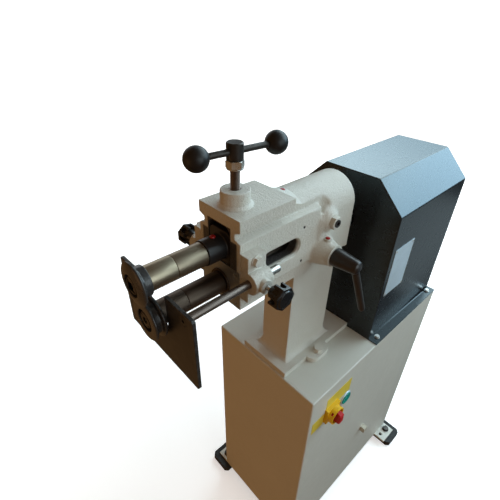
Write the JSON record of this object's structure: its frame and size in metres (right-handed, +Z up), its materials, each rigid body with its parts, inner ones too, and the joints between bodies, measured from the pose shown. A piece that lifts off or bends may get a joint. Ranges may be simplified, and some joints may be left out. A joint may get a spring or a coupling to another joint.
{
  "type": "electric beading machine",
  "caption": "Cabinet-mounted electric beading machine: cast C-frame head with geared roller shafts, T-handle feed screw, depth gauge, side-shift lever and covered motor drive.",
  "frame": {"origin": "on the floor under the middle of the cabinet, the centre of the four anchor holes", "axes": "+Z up, -Y towards the rollers at the front, +X the side with the switch and lever"},
  "size_m": [0.432, 0.8635, 1.276],
  "materials": {
    "sheet_paint": "satin beige-grey paint on sheet steel",
    "cast_paint": "satin beige-grey paint over cast iron, soft cast edges",
    "painted_bolt": "hardware painted over with the casting",
    "cover_paint": "satin black paint on folded sheet",
    "bare_cast": "machined bare iron",
    "zinc_steel": "bright zinc-plated steel",
    "black_oxide": "black oxide steel, lightly oiled",
    "screw_steel": "browned threaded steel",
    "spacer_steel": "turned steel, olive-gold film of oil",
    "dark_spacer_steel": "turned steel, dark brown film of oil",
    "ground_steel": "ground steel",
    "bronze": "sintered bronze",
    "phenolic": "black moulded phenolic",
    "lever_plastic": "dark moulded plastic",
    "rubber": "black moulded rubber",
    "red_plastic": "red moulded plastic",
    "yellow_plastic": "yellow moulded plastic",
    "green_plastic": "teal-green moulded plastic",
    "inlet_plastic": "beige moulded plastic",
    "alu": "plain anodised aluminium",
    "gearbox_alu": "die-cast aluminium",
    "motor_paint": "blue-grey motor enamel",
    "fan_plastic": "black moulded plastic"
  },
  "bodies": {
    "frame": {"cabinet_shell": "sheet_paint", "rear_panel": "sheet_paint", "rear_panel_screws": "zinc_steel", "foot_plates": "sheet_paint", "rubber_feet": "rubber", "foot_bolts": "black_oxide", "pedal_inlet": "inlet_plastic", "head_casting": "cast_paint", "head_bolts": "painted_bolt", "lower_bearing_cap": "bare_cast", "cap_screws": "black_oxide", "right_bracket": "cast_paint", "left_bracket": "cast_paint", "bracket_bolts": "painted_bolt", "pivot_screws": "zinc_steel", "pivot_lock_nuts": "painted_bolt", "oil_plugs": "red_plastic", "drive_cover": "cover_paint", "cover_screws": "zinc_steel", "gearbox": "gearbox_alu", "gearbox_stand": "cover_paint", "motor": "motor_paint", "motor_fan_cover": "fan_plastic", "data_plate": "alu", "data_plate_rivets": "zinc_steel", "switch_base": "yellow_plastic", "button_bezel": "alu"},
    "rocker": {"upper_rocker": "black_oxide", "upper_bushes": "bronze", "rocker_oil_plug": "red_plastic"},
    "upper_roll": {"upper_shaft": "ground_steel", "upper_spacers": "spacer_steel", "upper_roller": "black_oxide", "upper_roller_nut": "black_oxide", "upper_gear": "ground_steel"},
    "quill": {"lower_quill": "ground_steel", "lower_bushes": "bronze"},
    "lower_roll": {"lower_shaft": "ground_steel", "lower_spacers": "dark_spacer_steel", "lower_roller": "black_oxide", "lower_roller_nut": "black_oxide", "lower_gear": "ground_steel"},
    "pad": {"pressure_pad": "bronze"},
    "screw": {"feed_screw": "screw_steel", "tee_hub": "black_oxide"},
    "tee": {"tee_bar": "black_oxide", "ball_knobs": "phenolic"},
    "washer": {"lock_washer": "zinc_steel"},
    "nut": {"lock_nut": "zinc_steel"},
    "gauge": {"gauge_plate": "black_oxide", "gauge_rod": "spacer_steel", "gauge_screw": "black_oxide"},
    "right_knob": {"right_clamp_knob": "phenolic"},
    "left_knob": {"left_clamp_knob": "phenolic"},
    "lever": {"lever_handle": "lever_plastic", "lever_shaft": "ground_steel"},
    "switch": {"switch_handle": "red_plastic"},
    "button": {"start_button": "green_plastic"},
    "output": {"output_shaft": "ground_steel"},
    "fan": {"motor_fan": "fan_plastic"}
  },
  "joints": [
    {"name": "rocker_lift", "type": "hinge", "parent": "frame", "child": "rocker", "pos_m": [0, -0.176, 1.096], "axis": [-1, 0, 0], "range_deg": [0, 2.21]},
    {"name": "upper_spin", "type": "hinge", "parent": "rocker", "child": "upper_roll", "pos_m": [0, -0.3, 1.107], "axis": [0, 1, 0], "continuous": true},
    {"name": "quill_shift", "type": "slide", "parent": "frame", "child": "quill", "axis": [0, 1, 0], "range_m": [-0.0026, 0.0026]},
    {"name": "lower_spin", "type": "hinge", "parent": "quill", "child": "lower_roll", "pos_m": [0, -0.3, 1.035], "axis": [0, 1, 0], "continuous": true},
    {"name": "pad_lift", "type": "slide", "parent": "frame", "child": "pad", "axis": [0, 0, 1], "range_m": [0, 0.00731]},
    {"name": "feed_screw_turn", "type": "hinge", "parent": "pad", "child": "screw", "pos_m": [0, -0.366, 1.2], "axis": [0, 0, 1], "range_deg": [0, 1314]},
    {"name": "tee_slide", "type": "slide", "parent": "screw", "child": "tee", "axis": [0.1219, 0.9925, 0], "range_m": [-0.045, 0.031]},
    {"name": "lock_washer_travel", "type": "slide", "parent": "screw", "child": "washer", "axis": [0, 0, 1], "range_m": [-0.0314, 0]},
    {"name": "lock_nut_turn", "type": "hinge", "parent": "washer", "child": "nut", "pos_m": [0, -0.366, 1.2], "axis": [0, 0, 1], "range_deg": [-5640, 0]},
    {"name": "gauge_slide", "type": "slide", "parent": "frame", "child": "gauge", "axis": [0, 1, 0], "range_m": [0, 0.11]},
    {"name": "right_knob_turn", "type": "hinge", "parent": "frame", "child": "right_knob", "pos_m": [0.1, -0.384, 1.069], "axis": [1, 0, 0], "range_deg": [0, 720]},
    {"name": "left_knob_turn", "type": "hinge", "parent": "frame", "child": "left_knob", "pos_m": [-0.1, -0.384, 1.069], "axis": [-1, 0, 0], "range_deg": [0, 720]},
    {"name": "lever_turn", "type": "hinge", "parent": "frame", "child": "lever", "pos_m": [0.09, -0.187, 1.033], "axis": [1, 0, 0], "range_deg": [-60, 60]},
    {"name": "main_switch_turn", "type": "hinge", "parent": "frame", "child": "switch", "pos_m": [0.17, -0.206, 0.63], "axis": [-1, 0, 0], "range_deg": [0, 90]},
    {"name": "start_button_press", "type": "slide", "parent": "frame", "child": "button", "axis": [-1, 0, 0], "range_m": [0, 0.004], "stiffness_N_per_m": 800, "springref_m": -0.002},
    {"name": "output_spin", "type": "hinge", "parent": "frame", "child": "output", "pos_m": [0, 0, 1.035], "axis": [0, 1, 0], "continuous": true},
    {"name": "fan_spin", "type": "hinge", "parent": "frame", "child": "fan", "pos_m": [0, 0.27, 1.035], "axis": [0, 1, 0], "continuous": true}
  ],
  "couplings": [
    {"joint": "rocker_lift", "follows": "feed_screw_turn", "ratio": 0.0016743},
    {"joint": "pad_lift", "follows": "feed_screw_turn", "m_per_rad": 0.00031831},
    {"joint": "lock_washer_travel", "follows": "lock_nut_turn", "m_per_rad": 0.00031831},
    {"joint": "lever_turn", "follows": "quill_shift", "rad_per_m": -402.6},
    {"joint": "upper_spin", "follows": "lower_spin", "ratio": -1},
    {"joint": "output_spin", "follows": "lower_spin", "ratio": 1},
    {"joint": "fan_spin", "follows": "lower_spin", "ratio": 30}
  ]
}
